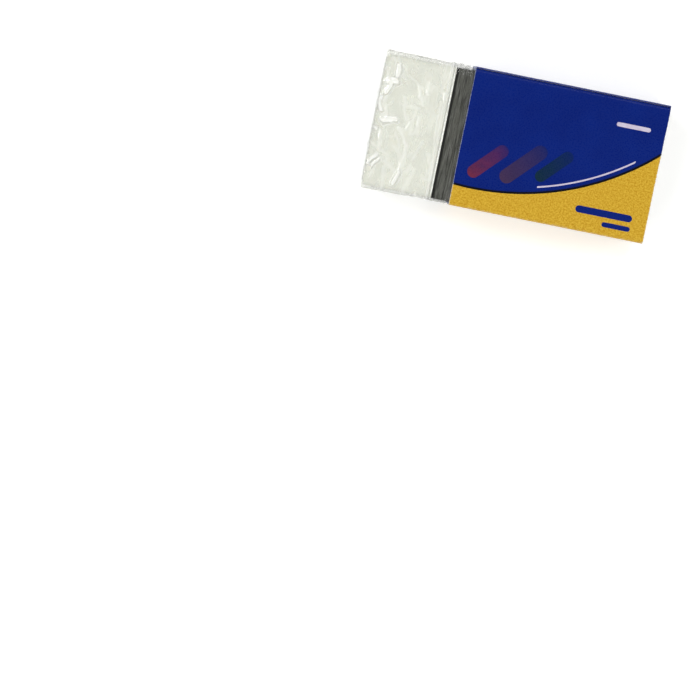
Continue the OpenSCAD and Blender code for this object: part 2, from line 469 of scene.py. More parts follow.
@dataclass
class SectionPath:
    """A line across the eraser, in Y and Z, made of straight runs and right-hand bends.

    Its outward side is on its left. Lengths are in millimetres.
    """

    start: tuple[float, float]
    heading: float
    steps: list[tuple[float, float]] = field(default_factory=list)

    def run(self, length: float) -> "SectionPath":
        """Adds a straight run."""
        self.steps.append((length, 0.0))
        return self

    def bend(self, radius: float, degrees: float = 90.0) -> "SectionPath":
        """Adds a bend to the right, of that outer radius."""
        self.steps.append((radius * math.radians(degrees), radius))
        return self

    @property
    def marks(self) -> np.ndarray:
        """The distance along the path at which each step starts, and its full length."""
        return np.concatenate([[0.0], np.cumsum([length for length, _ in self.steps])])

    def at(self, along: np.ndarray) -> Grids:
        """Points on the path.

        Args:
            along: Distances along the path.

        Returns:
            The points and the outward directions, each with a last axis of Y and Z.
        """
        along = np.asarray(along, float)
        point, outward = np.zeros(along.shape + (2,)), np.zeros(along.shape + (2,))
        here, angle, done = np.array(self.start, float), self.heading, 0.0
        for k, (length, radius) in enumerate(self.steps):
            last = k == len(self.steps) - 1
            inside = (along >= done) & ((along < done + length) | last)
            t = along[inside] - done
            if radius:
                turned = angle - t / radius
                centre = here + radius * np.array([math.sin(angle), -math.cos(angle)])
                outward[inside] = np.stack([-np.sin(turned), np.cos(turned)], -1)
                point[inside] = centre + radius * outward[inside]
                angle -= length / radius
                here = centre + radius * np.array([-math.sin(angle), math.cos(angle)])
            else:
                ahead = np.array([math.cos(angle), math.sin(angle)])
                point[inside] = here + t[:, None] * ahead
                outward[inside] = [-math.sin(angle), math.cos(angle)]
                here = here + length * ahead
            done += length
        return point, outward


def spread(*stops: float, step: float | tuple[float, ...]) -> np.ndarray:
    """Evenly spaced values that pass through each stop.

    Args:
        stops: The values that have to be met, rising.
        step: The widest spacing, for all runs or for each.

    Returns:
        The values.
    """
    runs = [
        np.linspace(a, b, max(1, math.ceil((b - a) / widest)), endpoint=False)
        for a, b, widest in zip(stops, stops[1:], np.broadcast_to(step, len(stops) - 1))
    ]
    return np.concatenate(runs + [[stops[-1]]])


@dataclass
class Solid:
    """Points in millimetres and faces, gathered from one or more closed sheets."""

    points: list[np.ndarray] = field(default_factory=list)
    faces: list[list[int]] = field(default_factory=list)
    indices: list[int] = field(default_factory=list)
    fields: dict[str, list[np.ndarray]] = field(default_factory=dict)
    count: int = 0

    def add_sheet(
        self, top: np.ndarray, under: np.ndarray, fields: dict[str, np.ndarray], ring: bool = False
    ) -> None:
        """Adds a closed sheet between two grids of points.

        Args:
            top: The outer grid, rows by columns by 3.
            under: The inner grid, of the same shape.
            fields: Values on the outer grid, by the name that a material reads. The inner grid gets 0.
            ring: True where the last row joins the first.
        """
        size = top.shape[0] * top.shape[1]
        grid = np.arange(size).reshape(top.shape[:2]) + self.count
        if ring:
            grid = np.concatenate([grid, grid[:1]])
        quads = np.stack([grid[:-1, :-1], grid[1:, :-1], grid[1:, 1:], grid[:-1, 1:]], -1).reshape(-1, 4)
        rims = [grid[::-1, 0], grid[:, -1]] + ([] if ring else [grid[0], grid[-1, ::-1]])
        walls = [np.stack([rim[1:], rim[1:] + size, rim[:-1] + size, rim[:-1]], -1) for rim in rims]
        self.points += [top.reshape(-1, 3), under.reshape(-1, 3)]
        self.faces += np.concatenate([quads, quads[:, [0, 3, 2, 1]] + size, *walls]).tolist()
        self.indices += [Face.OUTER.value] * len(quads) + [Face.INNER.value] * len(quads)
        # The two ends of the columns are cut edges; the ink ran over the rows' own ends.
        for k, wall in enumerate(walls):
            self.indices += [(Face.CUT if k < 2 else Face.OUTER).value] * len(wall)
        for key, values in fields.items():
            self.fields.setdefault(key, []).extend([values.reshape(-1), np.zeros(size)])
        self.count += 2 * size

    def piece(self, name: str, finishes: list[bpy.types.Material], sharp: float = 40.0) -> bpy.types.Object:
        """Makes what is gathered into one object.

        Args:
            name: The piece's name.
            finishes: One material, or those of the outer face, the inner face and the cut edges.
            sharp: Edges that turn more than this many degrees are shaded sharp.

        Returns:
            The object.
        """
        mesh = bpy.data.meshes.new(name)
        mesh.from_pydata((np.concatenate(self.points) * MM).tolist(), [], self.faces)
        for finish in finishes:
            mesh.materials.append(finish)
        if len(finishes) > 1:
            mesh.polygons.foreach_set("material_index", self.indices)
        for key, parts in self.fields.items():
            values = np.concatenate(parts).astype(np.float32)
            mesh.attributes.new(key, "FLOAT", "POINT").data.foreach_set("value", values)
        mesh.validate()
        mesh.update()
        mesh.shade_smooth()
        mesh.set_sharp_from_angle(angle=math.radians(sharp))
        thing = bpy.data.objects.new(name, mesh)
        bpy.context.scene.collection.objects.link(thing)
        return thing


# ---------------------------------------------------------------- the wrapped block


@dataclass
class Crease:
    """A ridge in the film along a bent line, in millimetres over the unrolled wrap."""

    points: tuple[tuple[float, float], ...]
    height: float
    width: float
    haze_and_painted_light: float = PALE

    def near(self, from_end: np.ndarray, around: np.ndarray) -> np.ndarray:
        """How near each place is to the crease, from 0 beside it to 1 on it.

        Args:
            from_end: Distances from the bare end.
            around: Distances round the tube from the front's middle line.

        Returns:
            One value for each place.
        """
        away = np.full(np.broadcast(from_end, around).shape, np.inf)
        for (x0, s0), (x1, s1) in zip(self.points, self.points[1:]):
            dx, ds = x1 - x0, s1 - s0
            t = np.clip(((from_end - x0) * dx + (around - s0) * ds) / (dx * dx + ds * ds), 0, 1)
            away = np.minimum(away, np.hypot(from_end - x0 - t * dx, around - s0 - t * ds))
        return np.clip(1 - away / self.width, 0, 1)


FRONT_CREASES = (
    # Pressed patches beside the end's fold.
    Crease(((2.1, 8.9), (2.3, 8.1), (2.2, 7.3)), 0.15, 0.62, 1.0),
    Crease(((0.9, 6.1), (1.5, 6.6), (2.3, 6.35)), 0.14, 0.62, 1.0),
    Crease(((1.5, 6.1), (1.25, 5.2), (0.85, 4.4)), 0.12, 0.52, 1.0),
    Crease(((0.35, 3.6), (0.25, 2.7), (0.7, 1.7)), 0.12, 0.52, 0.9),
    # A cross fold, and the small nicks below it.
    Crease(((1.3, 0.1), (2.2, 0.5), (3.3, 0.55)), 0.15, 0.62, 1.0),
    Crease(((0.1, -1.15), (0.7, -1.4)), 0.10, 0.36, 0.8),
    Crease(((1.3, -1.4), (1.5, -2.9), (1.6, -4.5)), 0.07, 0.34),
    # The long bow down the middle.
    Crease(((4.0, -0.6), (5.0, -1.75), (5.7, -3.0), (5.75, -4.8), (5.4, -6.9), (4.85, -9.3)), 0.09, 0.46),
    Crease(((5.4, -7.4), (4.85, -9.3)), 0.12, 0.55, 0.9),
    # Two slanting nicks by the near corner.
    Crease(((0.3, -7.0), (1.35, -5.3)), 0.08, 0.3, 1.0),
    Crease(((0.95, -7.3), (1.95, -5.7)), 0.08, 0.3, 1.0),
    # Tension lines that run round the block.
    Crease(((5.95, 6.3), (6.95, 3.6)), 0.09, 0.40),
    Crease(((7.1, 7.2), (7.45, 5.5)), 0.10, 0.38),
    Crease(((10.0, 6.0), (10.1, 4.9)), 0.10, 0.32),
    Crease(((10.15, 4.7), (10.2, -6.6)), 0.05, 0.24),
    Crease(((9.7, 4.6), (9.85, -2.1)), 0.05, 0.22),
    Crease(((6.7, 1.75), (6.75, 0.4)), 0.08, 0.30),
    Crease(((5.55, 0.6), (5.1, -0.6)), 0.08, 0.32),
)


@dataclass
class FilmWrap:
    """The clear film: a tight tube with envelope-folded ends, loose and creased where it is bare.

    Lengths are in millimetres, and creases in a level of 0 to 1 that sets their haze, painted shade and
    painted highlight. Where a size is a pair, it is what there is all along the bare film, and how much
    more at its end.
    """

    low: Vector
    high: Vector
    mouth_x: float
    tape_x0: float
    tape_x1: float
    thickness: float = 0.05
    lap_layer: float = 0.05
    end_layers: float = 0.1
    step: float = 0.15
    covered_step: float = 3.5
    # The long edges turn over more sharply than a circle does, by the power.
    edge_radius: float = 0.83
    edge_power: int = 5
    roll: float = 0.22
    # What is folded and sealed over the tube, and how far each layer stands in from the block's edges.
    lap_width: float = 4.0
    lap_inset: float = 0.9
    tab_length: float = 3.5
    tab_overlap: float = 0.3
    flap_depth: float = 6.6
    flap_layers: tuple[float, float] = (0.05, 0.11)
    fold_inset: float = 0.35
    seal_haze: float = 0.54
    seal_edge_haze: float = 0.35
    # The sleeve holds the film flat from just inside its mouth, and the film is loose beyond this run.
    held: float = 0.15
    held_run: float = 0.9
    # How far the loose film stands off: its slow swell, its fine ripple and its net of ridges.
    swell: float = 0.03
    ripple: float = 0.012
    net_rise: tuple[float, float] = (0.022, 0.03)
    far_slack: tuple[float, float] = (0.3, 0.25)
    near_slack: tuple[float, float] = (0.18, 0.28)
    side_swell: float = 0.07
    side_net: float = 0.09
    # The step up over the tape.
    tape_step: float = 0.07
    step_run: float = 0.28
    # How strongly the fine lines by the tape are painted, from paler to grey shade.
    tape_line_haze_and_shade: float = 0.27
    # The random creases: how many, how much of one there is where it reaches the front, which share of those
    # beside it is sharp, and their haze, which on sharp ones also sets painted highlight and painted shade.
    strays: int = 110
    puckers: int = 44
    front_share: float = 0.22
    near_pucker_share: float = 0.1
    sharp_share: float = 0.25
    sharp_haze_and_painted_light: float = 0.85
    soft_haze: float = 0.07
    # How far a crease wanders from its line, over what length, and how far the painted dark shade at its foot
    # lies beside it.
    wander: float = 0.16
    wander_run: float = 0.8
    foot_shade_shift: tuple[float, float] = (-0.14, 0.18)

    def __post_init__(self) -> None:
        """Works out the tube's size, its section path and its creases."""
        self.x0 = self.low.x / MM + self.end_layers
        self.x1 = self.high.x / MM - self.end_layers
        self.half_w = (self.high.y - self.low.y) / MM / 2
        self.mid_y = (self.high.y + self.low.y) / MM / 2
        self.z0 = self.low.z / MM + self.lap_layer
        self.half_t = (self.high.z / MM - self.z0) / 2
        self.mid_z = self.z0 + self.half_t
        r = self.edge_radius
        flat_w, flat_t = self.half_w - r, 2 * (self.half_t - r)
        self.path = SectionPath((self.mid_y, self.z0 + 2 * self.half_t), 0.0)
        self.path.run(flat_w)
        for side in (flat_t, 2 * flat_w, flat_t, flat_w):
            self.path.bend(r).run(side)
        self.girth = float(self.path.marks[-1])
        self.bare = self.mouth_x - self.x0
        self.broad, self.fine, self.crumple = ValueNoise(11), ValueNoise(12), ValueNoise(13)
        self.creases = [*FRONT_CREASES, *self.random_creases()]

    def random_creases(self) -> list[Crease]:
        """Lays creases at random over the sides and the back, and faint ones over the front.

        Returns:
            The creases.
        """
        rng = np.random.default_rng(5)
        front = self.half_w - 1
        made: list[Crease] = []
        for _ in range(self.strays):
            s = rng.uniform(-self.girth / 2, self.girth / 2)
            x, turn = rng.uniform(0.3, self.bare - 1.2), rng.normal(math.pi / 2, 0.6)
            reach, bow = rng.uniform(0.8, 4.5), rng.normal(0, 0.25)
            line = []
            for t in (0.0, 0.5, 1.0):
                ahead = float(np.clip(x + reach * t * math.cos(turn + bow * t), 0.2, self.bare - 0.7))
                line.append((ahead, s + reach * t * math.sin(turn + bow * t)))
            share = 1.0 if min(abs(place[1]) for place in line) >= front else self.front_share
            height, width = share * rng.uniform(0.05, 0.13), rng.uniform(0.22, 0.45)
            sharp = abs(s) >= front and rng.uniform() < self.sharp_share and share == 1
            made.append(Crease(tuple(line), height, width, self.sharp_haze_and_painted_light if sharp else self.soft_haze))
        # Short puckers across the tape, where the film turns over the block's long edges.
        for _ in range(self.puckers):
            x = rng.uniform(self.bare - 4.2, self.bare - 0.6)
            s = math.copysign(self.half_w - rng.uniform(0.1, 0.9), rng.uniform(-1, 1))
            line = ((x, s), (x + rng.normal(0, 0.25), s + rng.uniform(0.5, 1.3)))
            share = 1.0 if s > 0 else self.near_pucker_share
            height, width = share * rng.uniform(0.08, 0.17), rng.uniform(0.16, 0.26)
            made.append(Crease(line, height, width, PALE * share))
        return made

    def crease_net(self, from_end: np.ndarray, around: np.ndarray) -> np.ndarray:
        """A net of thin bent ridges, such as crumpled film keeps, drawn out round the block.

        Args:
            from_end: Distances from the bare end.
            around: Distances round the tube from the front's middle line.

        Returns:
            1 on a ridge and 0 between, for each place.
        """
        shift = 0.5 * self.broad.at(from_end / 2.2 + 40, around / 2.2 + 90)
        coarse = self.fine.at(from_end / 1.5 + shift, around / 6.5 + 50 + shift)
        close = self.crumple.at(from_end / 0.7 + shift + 20, around / 4.5 + 70)
        ridge = np.clip(1 - 3.2 * np.abs(coarse), 0, 1) ** 1.5
        return np.maximum(ridge, 0.6 * np.clip(1 - 3.0 * np.abs(close), 0, 1) ** 1.5)

    def lift(self, from_end: np.ndarray, around: np.ndarray, outward: np.ndarray) -> Grids:
        """How far the film stands off its tight place, and how hazed its creases are, with their painted
        shade and painted highlights.

        Args:
            from_end: Distance from the bare end.
            around: Distance round the tube from the front's middle line, -girth/2 to girth/2.
            outward: The tight section's outward directions, with a last axis of Y and Z.

        Returns:
            The lift in millimetres, and the level of haze, painted shade and painted highlight from 0 to 1.
        """
        loose = ease(np.clip((self.bare + self.held - from_end) / self.held_run, 0, 1))
        turn = around / self.girth
        to_end = np.clip(1 - from_end / self.bare, 0, 1)
        net = self.crease_net(from_end, around)
        net_rise, far_side, near_side = (
            base + more * to_end for base, more in (self.net_rise, self.far_slack, self.near_slack)
        )
        flat = self.swell * (1 + self.broad.at(from_end / 3.5, turn * 16 + 32))
        flat = flat + self.ripple * (1 + self.fine.at(from_end / 1.1 + 7, turn * 64)) + net * net_rise
        # The narrow sides stand off, most of all at the bare end, so the long edges turn over sharply.
        side = np.where(outward[..., 0] > 0, far_side, near_side)
        side = side + self.side_swell * self.crumple.at(from_end / 1.3, turn * 32) + self.side_net * net
        r, power = self.edge_radius, self.edge_power
        up = np.abs(outward[..., 1]) / (r + flat)
        across = np.abs(outward[..., 0]) / (r + np.maximum(side, 0.02))
        height = (up**power + across**power) ** (-1 / power) - r
        haze_and_painted_light = 0.02 * net * (0.4 + 0.6 * to_end)
        # The film steps up over the tape, and stays up to the mouth.
        to_tape = self.tape_x0 - self.x0 - self.step_run - from_end
        height += self.tape_step * np.clip(-to_tape / self.step_run, 0, 1)
        # No crease is ruler-straight or of one width.
        run = self.wander_run
        x, s = (
            place + self.wander * self.fine.at(from_end / run + k, around / run + k + 49)
            for place, k in ((from_end, 11), (around, 31))
        )
        for crease in self.creases:
            near = crease.near(x, s)
            height += crease.height * near**1.15
            # On the side that is turned from the light a sharp crease gets a wider painted dark shade at its
            # foot.
            foot = np.clip(2.5 * crease.near(x + self.foot_shade_shift[0], s + self.foot_shade_shift[1]), 0, 1)
            haze_and_painted_light = np.maximum(haze_and_painted_light, near**0.8 * crease.haze_and_painted_light)
            haze_and_painted_light = np.maximum(haze_and_painted_light, FOOT * foot * min(1.0, 1.2 * crease.haze_and_painted_light))
        # Fine lines run round the block where the film is drawn up over the tape, painted paler to grey, the
        # grey as shade in their folds.
        reach, line_gap, line_length = 0.8, 0.2, 8.0
        drawn = np.exp(-np.clip(to_tape, 0, None) / reach) * (to_tape > -0.1)
        lines = np.clip(1.8 * self.fine.at(from_end / line_gap + 3, around / line_length + 20) + 0.1, 0, 1)
        haze_and_painted_light = np.maximum(haze_and_painted_light, self.tape_line_haze_and_shade * drawn * lines)
        # A painted grey shade line lies where it leaves the block, at the foot of its step up over the tape.
        middle, blur = 0.075, 0.13
        haze_and_painted_light = np.maximum(haze_and_painted_light, FOOT * np.clip(1.6 - np.abs(to_tape - middle) / blur, 0, 1))
        return height * loose, haze_and_painted_light * loose

    def tube(self) -> tuple[np.ndarray, np.ndarray, dict[str, np.ndarray]]:
        """The tube's outer and inner grids, and what its material reads.

        Returns:
            Two grids, rows round the girth and columns along X, and the outer grid's fields.
        """
        front, bend, side, back = 0.15, 0.1, 0.19, 0.4
        steps = (front, bend, side, bend, back, bend, side, bend, front)
        along = spread(*self.path.marks, step=steps)[:-1]
        around = (along + self.girth / 2) % self.girth - self.girth / 2
        start, rise, tape, edge = self.x0 + self.roll, self.tape_x0 - self.step_run, self.tape_x0, 0.03
        stops = (start, rise, tape - edge, tape + edge, self.mouth_x + 0.2, self.x1 - self.roll)
        xs = spread(*stops, step=(self.step,) * 4 + (self.covered_step,))
        point, outward = self.path.at(along)
        lift, haze_and_painted_light = self.lift(xs[None, :] - self.x0, around[:, None], outward[:, None, :])
        places = np.broadcast_to(xs[None, :, None], lift.shape + (1,))
        top, under = (
            np.concatenate([places, point[:, None] + outward[:, None] * out[..., None]], -1)
            for out in (lift, lift - self.thickness)
        )
        # The long edges' rim stands clear of the tape, with a ragged edge where it leaves it.
        inset, wander, blur = 0.04, 0.18, 0.06
        ragged = self.half_w - inset + wander * self.crumple.at(top[..., 0] / 0.3, 5.0)
        beyond = np.clip((np.abs(top[..., 1] - self.mid_y) - ragged) / blur, 0, 1)
        rim = beyond * np.clip((np.abs(outward[:, None, 1]) - 0.2) / 0.2, 0, 1)
        return top, under, {"crease": haze_and_painted_light, "tape": self.over_tape(top[..., 0]) * (1 - rim)}

    def over_tape(self, x: np.ndarray) -> np.ndarray:
        """Where the dark tape lies beneath: 1 over it and 0 elsewhere."""
        return ((x > self.tape_x0) & (x < self.tape_x1)).astype(float)

    def end_x(self, side: int) -> float:
        """Where the end wall lies along X: the bare end's for side -1, the other's for 1."""
        return self.x0 if side < 0 else self.x1

    def end_wall(self, side: int, top: np.ndarray, under: np.ndarray, steps: int) -> Grids:
        """Closes one end: the tube's rim rolls over and runs in to the end's middle line.

        Args:
            side: -1 for the bare end, 1 for the other.
            top: The tube's outer rim.
            under: The tube's inner rim.
            steps: How many columns the flat part has.

        Returns:
            The outer and inner grids, rows round the girth and columns going in.
        """
        flat = self.half_w - self.half_t
        y = np.clip(top[:, 1] - self.mid_y, -flat, flat) + self.mid_y
        spine = np.stack([y, np.full(len(top), self.mid_z)], -1)
        reach = np.linalg.norm(top[:, 1:] - spine, axis=1, keepdims=True)
        inward = (spine - top[:, 1:]) / reach
        outer, inner = [top], [under]
        for angle in np.radians(np.linspace(0, 90, 5))[1:]:
            move = self.roll * (1 - np.cos(angle))
            x = top[:, :1] + side * self.roll * np.sin(angle)
            outer.append(np.concatenate([x, top[:, 1:] + inward * move], 1))
            lined = x - side * self.thickness * np.sin(angle)
            inner.append(np.concatenate([lined, under[:, 1:] + inward * move], 1))
        # The rows all but meet at the middle line, and the flat part swells a little.
        gap, swell, run = 0.02, 0.01, 1.4
        for share in np.linspace(0, 1, steps)[1:]:
            yz = top[:, 1:] + inward * (self.roll + (reach - self.roll - gap) * share)
            wave = swell * (1 + self.crumple.at(yz[:, 0] / run + 9, yz[:, 1] / run))
            wave = wave * math.sin(math.pi * share)
            x = np.full((len(top), 1), self.end_x(side)) + side * wave[:, None]
            outer.append(np.concatenate([x, yz], 1))
            inner.append(np.concatenate([x - side * self.thickness, yz], 1))
        return np.stack(outer, 1), np.stack(inner, 1)

    def flap(self, side: int, fold: int, layer: float) -> np.ndarray:
        """One sealed flap of an end, a trapezoid that narrows from its fold at 45 degrees.

        Args:
            side: -1 for the bare end, 1 for the other.
            fold: 1 where it folds down from the front's edge, -1 where it folds up.
            layer: How far it lies out from the end wall.

        Returns:
            Its outer grid.
        """
        down = spread(0.0, self.flap_depth, step=0.25)
        across = np.linspace(-1, 1, 70)
        y = self.mid_y + across[None, :] * (self.half_w - self.fold_inset - down)[:, None]
        z = self.mid_z + fold * (self.half_t - 0.3 - down)[:, None] + 0 * y
        rough = self.crumple.at(y / 1.1 + 20 * side, z / 1.1 + layer * 100)
        # It stands off towards its free edge, most of all at its slanted sides.
        clear, curl, side_curl, crackle = 0.03, 0.035, 0.08, 0.03
        free = np.clip(down / self.flap_depth, 0, 1)[:, None] ** 2
        edge = np.abs(across)[None, :] ** 12
        out = layer + curl * (1 + rough) * free + side_curl * free * edge * (1 + rough)
        out = out + crackle * np.abs(self.fine.at(y / 0.5, z / 2.5)) * free
        return np.stack([self.end_x(side) + side * (clear + out), y, z], -1)

    def tuck(self, side: int, edge: int) -> np.ndarray:
        """One side tuck of an end, which lies under the flaps and shows between them.

        Args:
            side: -1 for the bare end, 1 for the other.
            edge: 1 for the far narrow side, -1 for the near one.

        Returns:
            Its outer grid.
        """
        depth, narrowing, clear, ripple = 0.92, 0.85, 0.026, 0.01
        inwards = spread(0.0, self.half_t * depth, step=0.3)
        across = np.linspace(-1, 1, 40)
        z = self.mid_z + across[None, :] * (self.half_t - self.fold_inset - inwards * narrowing)[:, None]
        y = self.mid_y + edge * (self.half_w - self.fold_inset - inwards)[:, None] + 0 * z
        out = clear + ripple * (1 + self.fine.at(y / 0.8, z / 0.8))
        return np.stack([self.end_x(side) + side * out, y, z], -1)

    def strip(self, x0: float, x1: float, y0: float, y1: float, drop: float) -> np.ndarray:
        """A flat strip on the underside, from x0 to x1 and y0 to y1, that far below the tube."""
        x, y = np.meshgrid(spread(x0, x1, step=0.5), spread(y0, y1, step=0.4), indexing="ij")
        return np.stack([x, y, self.z0 - drop + self.ripple * self.fine.at(x / 0.9, y / 2.2)], -1)

    def add(self, solid: Solid, top: np.ndarray, behind: tuple[float, float, float], turned: bool) -> None:
        """Adds a folded-over layer, hazed a little where it was sealed and white along its edges.

        Args:
            solid: What it is added to.
            top: Its outer grid.
            behind: The way from its outer face to its inner one.
            turned: True where its grid runs the other way round.
        """
        top = top[:, ::-1] if turned else top
        rows, columns = (np.abs(np.linspace(-1, 1, n)) ** 30 for n in top.shape[:2])
        haze_and_painted_light = self.seal_haze + self.seal_edge_haze * np.maximum(rows[:, None], columns[None, :])
        solid.add_sheet(top, top + np.array(behind), {"crease": haze_and_painted_light, "tape": self.over_tape(top[..., 0])})

    def build(self) -> list[bpy.types.Object]:
        """Builds the wrap: the closed tube, and the layers that are folded and sealed over it.

        Returns:
            The pieces.
        """
        solid, folds = Solid(), Solid()
        top, under, fields = self.tube()
        left_top, left_under = self.end_wall(-1, top[:, 0], under[:, 0], 22)
        right_top, right_under = self.end_wall(1, top[:, -1], under[:, -1], 6)
        whole = np.concatenate([left_top[:, :0:-1], top, right_top[:, 1:]], 1)
        inner = np.concatenate([left_under[:, :0:-1], under, right_under[:, 1:]], 1)
        left, right = left_top.shape[1] - 1, right_top.shape[1] - 1
        padded = {key: np.pad(values, ((0, 0), (left, right)), mode="edge") for key, values in fields.items()}
        # The creases fade out over the bare end's wall, from its rim to its middle line.
        padded["crease"][:, :left] *= np.linspace(0, 1, left)[None, :]
        solid.add_sheet(whole, inner, padded, ring=True)
        for side in (-1, 1):
            for edge in (-1, 1):
                self.add(folds, self.tuck(side, edge), (-side * 0.012, 0, 0), side * edge > 0)
            for fold, layer in zip((-1, 1), self.flap_layers):
                self.add(folds, self.flap(side, fold, layer), (-side * 0.03, 0, 0), side * fold < 0)
        # The tab comes out from under the lap's far edge, and lies a little lower.
        half, foot = self.lap_width / 2, self.mid_y + self.lap_width / 2
        inset, lower = self.lap_inset, 1.1 * self.lap_layer
        lap = self.strip(self.x0 + inset, self.x1 - inset, self.mid_y - half, foot, self.lap_layer)
        tab = self.strip(self.tape_x0, self.tape_x1, foot - self.tab_overlap, foot + self.tab_length, lower)
        for strip in (lap, tab):
            self.add(folds, strip, (0, 0, self.thickness * 0.8), True)
        skin, back = FILM.make(), FILM_BACK.make()
        layers = (("clear_film", solid), ("film_folds", folds))
        made = [layer.piece(name, [skin, back, back], 60.0) for name, layer in layers]
        for film in made:
            # Light passes the clear film as though it weren't there.
            film.visible_shadow = False
            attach(film, "wrapped_block")
            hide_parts("film_wrap")
        return made


@dataclass
class WrappedBlock:
    """The rubber block with its tear tape and its film."""

    nodes: dict[str, bpy.types.Object]
    mouth_x: float

    def build(self) -> list[bpy.types.Object]:
        """Dresses the block and the tape, and builds the film.

        Returns:
            The pieces.
        """
        tape = [corner.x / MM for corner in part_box("tear_tape")]
        for node, finish in (("rubber_block", RUBBER), ("tear_tape", replace(TAPE, edge_x=tape[0]))):
            self.nodes[node].data.materials.clear()
            self.nodes[node].data.materials.append(finish.make())
        film = FilmWrap(*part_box("film_wrap"), self.mouth_x, *tape)
        return [self.nodes["rubber_block"], self.nodes["tear_tape"], *film.build()]


# ---------------------------------------------------------------- the sleeve


@dataclass
class CardSleeve:
    """The card sleeve: one strip folded round the block and glued over itself on the far side.

    Lengths are in millimetres. Fold wear is how rubbed each fold is, by its step in the section path.
    """

    low: Vector
    high: Vector
    card: float = 0.3
    fold: float = 0.5
    setback: float = 0.15
    flap_height: float = 8.4
    bow: float = 0.09
    # How far the cut ends are from straight.
    trim: float = 0.025
    # The lap's free edge: how far it leans in, how ragged it is slowly and quickly, how much of the card was
    # crushed there, and how rubbed it is at the mouth and how much less at the other end.
    lean: float = 0.2
    ragged: tuple[float, float] = (0.05, 0.03)
    crush: float = 0.72
    edge_wear: tuple[float, float] = (0.6, 0.25)
    fold_wear: tuple[tuple[int, float], ...] = ((1, 0.7), (3, 0.7), (5, 0.6), (7, 0.35))

    def __post_init__(self) -> None:
        """Works out the section path, from the lap's free edge round to the glue flap's foot."""
        self.x0, self.x1 = self.low.x / MM, self.high.x / MM
        self.y0, self.y1 = self.low.y / MM, self.high.y / MM
        self.height = self.high.z / MM
        self.length = self.x1 - self.x0
        width, r = self.y1 - self.y0, self.fold
        self.path = SectionPath((self.y1, self.height - self.setback), -math.pi / 2)
        self.path.run(self.height - self.setback - r).bend(r)
        self.path.run(width - 2 * r).bend(r)
        self.path.run(self.height - 2 * r).bend(r)
        self.path.run(width - 2 * r - self.card).bend(r)
        self.path.run(self.flap_height + self.card - r)
        self.marks = self.path.marks
        self.noise = ValueNoise(21)

    def swell(self, along: np.ndarray, x: np.ndarray) -> np.ndarray:
        """How far the card bows out from flat, and how its free edge stands off.

        Args:
            along: Distances along the section path.
            x: Places along X.

        Returns:
            The outward move in millimetres.
        """
        share = np.clip((x - self.x0) / self.length, 0, 1)
        ends = 0.75 + 0.25 * np.sin(math.pi * share)
        out = np.zeros(np.broadcast(along, x).shape)
        # The near side bows out a little, and the front more.
        for first, amount in ((4, 0.6), (6, 1.0)):
            t = np.clip((along - self.marks[first]) / (self.marks[first + 1] - self.marks[first]), 0, 1)
            out = out + amount * self.bow * np.sin(math.pi * t) ** 0.8 * ends
        # The lap's free edge isn't glued all the way up: it wavers, and leans in over the fold.
        stand, slow, quick = 0.02, 0.02, 0.015
        waver = stand + slow * (1 + self.noise.at(x / 2.3, 3.0)) + quick * self.noise.at(x / 0.5, 9.0)
        return out + np.exp(-along / 0.7) * waver - self.lean * np.exp(-along / 0.3)

    def place(self, along: np.ndarray, x: np.ndarray, lift: float | np.ndarray = 0.0) -> np.ndarray:
        """Points on the card's outer face.

        Args:
            along: Distances along the section path.
            x: Places along X, of the same shape.
            lift: How far above the face they lie.

        Returns:
            The points.
        """
        along, x = np.broadcast_arrays(np.asarray(along, float), np.asarray(x, float))
        yz, outward = self.path.at(along)
        yz = yz + outward * (self.swell(along, x) + lift)[..., None]
        # The free edge and the two cut ends aren't knife-straight.
        (slow, quick), edge_run, end_run = self.ragged, 0.15, 0.4
        ragged = slow * self.noise.at(x / 0.7, 15.0) + quick * self.noise.at(x / 0.23, 25.0)
        yz[..., 1] += ragged * np.exp(-along / edge_run) * (along < 10 * edge_run)
        trim = self.trim * self.noise.at(along / 2.5, 41.0)
        near = np.exp(-(self.x1 - x) / end_run) + np.exp(-(x - self.x0) / end_run)
        return np.concatenate([(x + trim * near)[..., None], yz], -1)

    def wear(self, along: np.ndarray, x: np.ndarray) -> np.ndarray:
        """How rubbed the print is, 0 to 1: along the folds, the cut ends and the lap's free edge.

        Args:
            along: Distances along the section path.
            x: Places along X.

        Returns:
            The wear.
        """
        along, x = np.broadcast_arrays(along, x)
        (mouth, less), edge_run, fold_run = self.edge_wear, 0.12, 0.3
        worn = (mouth - less * (x - self.x0) / self.length) * np.exp(-along / edge_run)
        for first, amount in self.fold_wear:
            middle = (self.marks[first] + self.marks[first + 1]) / 2
            worn = np.maximum(worn, amount * np.exp(-(((along - middle) / fold_run) ** 2)))
        for end in (self.x0, self.x1):
            worn = np.maximum(worn, np.exp(-np.abs(x - end) / edge_run))
        return worn

    def front(self, y: np.ndarray) -> np.ndarray:
        """Turns places across the front panel to distances along the section path."""
        return self.marks[6] + (y - self.y0 - self.fold)

    def build(self) -> bpy.types.Object:
        """Builds the folded card.

        Returns:
            The card.
        """
        # Rows and columns lie close at the free edge, at the folds and at the cut ends.
        free, end, longest_fold = 0.6, 0.5, 0.9
        stops = [0.0, free, *self.marks[1:].tolist()]
        steps = tuple(0.1 if b <= free or b - a < longest_fold else 0.5 for a, b in zip(stops, stops[1:]))
        xs = spread(self.x0, self.x0 + end, self.x1 - end, self.x1, step=(0.08, 0.33, 0.08))
        s, x = np.meshgrid(spread(*stops, step=steps), xs, indexing="ij")
        solid = Solid()
        # The lap's free edge was crushed thin where it was cut.
        thick = self.card * (1 - self.crush * np.exp(-s / 0.25))
        solid.add_sheet(self.place(s, x), self.place(s, x, -thick), {"wear": self.wear(s, x)})
        card = solid.piece("sleeve_card", [BLUE.make(), CARD.make(), CUT_EDGE.make()])
        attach(card, "sleeve")
        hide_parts("card_sleeve")
        return card


